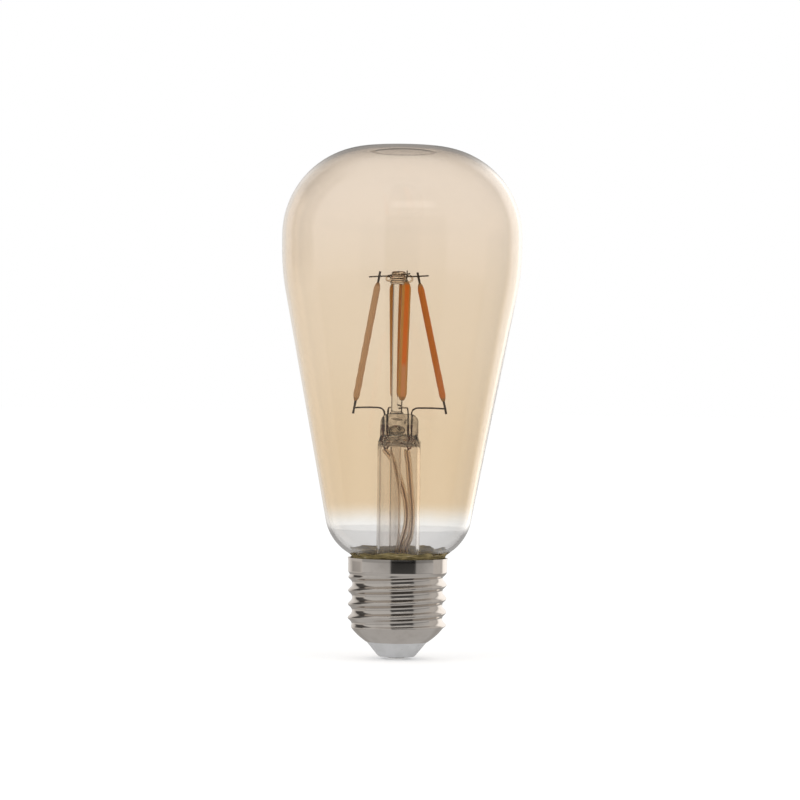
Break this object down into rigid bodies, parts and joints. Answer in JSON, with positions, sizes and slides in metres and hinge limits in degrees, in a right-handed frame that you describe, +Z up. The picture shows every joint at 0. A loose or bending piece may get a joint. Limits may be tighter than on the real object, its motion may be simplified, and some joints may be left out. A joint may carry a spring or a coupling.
{
  "type": "filament light bulb",
  "caption": "Pear-shaped amber glass filament lamp with a screw cap; the sealed globe holds a glass stem and upright strip filaments, and the cap hides a dimming radio driver.",
  "frame": {"origin": "centre of the cap's bottom contact face, the lamp's lowest point", "axes": "+Z up along the lamp's axis, from the contact to the crown of the glass; +X to the right and -Y towards the viewer"},
  "size_m": [0.064, 0.064, 0.1366],
  "materials": {
    "amber_glass": "clear amber-tinted blown glass, gloss, fading to clear near the neck",
    "clear_glass": "clear flint glass, gloss",
    "nickel_plate": "bright nickel plate",
    "white_moulding": "fine matt",
    "soldered_tin": "dull tinned face",
    "basing_cement": "matt olive-brown cured cement",
    "nickel_wire": "oxidised nickel wire",
    "copper_wire": "copper-sheathed wire",
    "glass_fibre_sleeve": "tan varnished glass-fibre braid",
    "phosphor_silicone": "satin silicone with orange phosphor",
    "ceramic_strip": "satin alumina",
    "circuit_board": "solder mask, satin",
    "black_epoxy": "matt moulded epoxy",
    "aluminium_can": "drawn can, satin",
    "ferrite": "matt ferrite with enamelled winding",
    "resistor_coat": "lacquered"
  },
  "bodies": {
    "root": {"basing_cement": "basing_cement", "bridge_rectifier": "black_epoxy", "centre_contact": "soldered_tin", "centre_lead": "copper_wire", "cross_wire_front": "nickel_wire", "cross_wire_side": "nickel_wire", "driver_board": "circuit_board", "driver_chip": "black_epoxy", "dumet_seal_back": "copper_wire", "dumet_seal_front": "copper_wire", "dumet_seal_left": "copper_wire", "dumet_seal_right": "copper_wire", "exhaust_tube": "clear_glass", "filament_coat_back": "phosphor_silicone", "filament_coat_front": "phosphor_silicone", "filament_coat_left": "phosphor_silicone", "filament_coat_right": "phosphor_silicone", "filament_strip_back": "ceramic_strip", "filament_strip_front": "ceramic_strip", "filament_strip_left": "ceramic_strip", "filament_strip_right": "ceramic_strip", "filament_tab_foot_back": "nickel_wire", "filament_tab_foot_front": "nickel_wire", "filament_tab_foot_left": "nickel_wire", "filament_tab_foot_right": "nickel_wire", "filament_tab_top_back": "nickel_wire", "filament_tab_top_front": "nickel_wire", "filament_tab_top_left": "nickel_wire", "filament_tab_top_right": "nickel_wire", "filter_choke": "ferrite", "fusible_resistor": "resistor_coat", "glass_envelope": "amber_glass", "insulator": "white_moulding", "lead_sleeve_left": "glass_fibre_sleeve", "lead_sleeve_right": "glass_fibre_sleeve", "lead_wire_back": "nickel_wire", "lead_wire_front": "nickel_wire", "lead_wire_left": "nickel_wire", "lead_wire_right": "nickel_wire", "outer_lead_left": "copper_wire", "outer_lead_right": "copper_wire", "radio_antenna": "copper_wire", "radio_board": "circuit_board", "radio_shield": "aluminium_can", "screw_shell": "nickel_plate", "side_lead": "copper_wire", "smoothing_capacitor": "aluminium_can", "stem_tube": "clear_glass", "support_rod": "clear_glass", "wire_button": "clear_glass"}
  },
  "joints": []
}
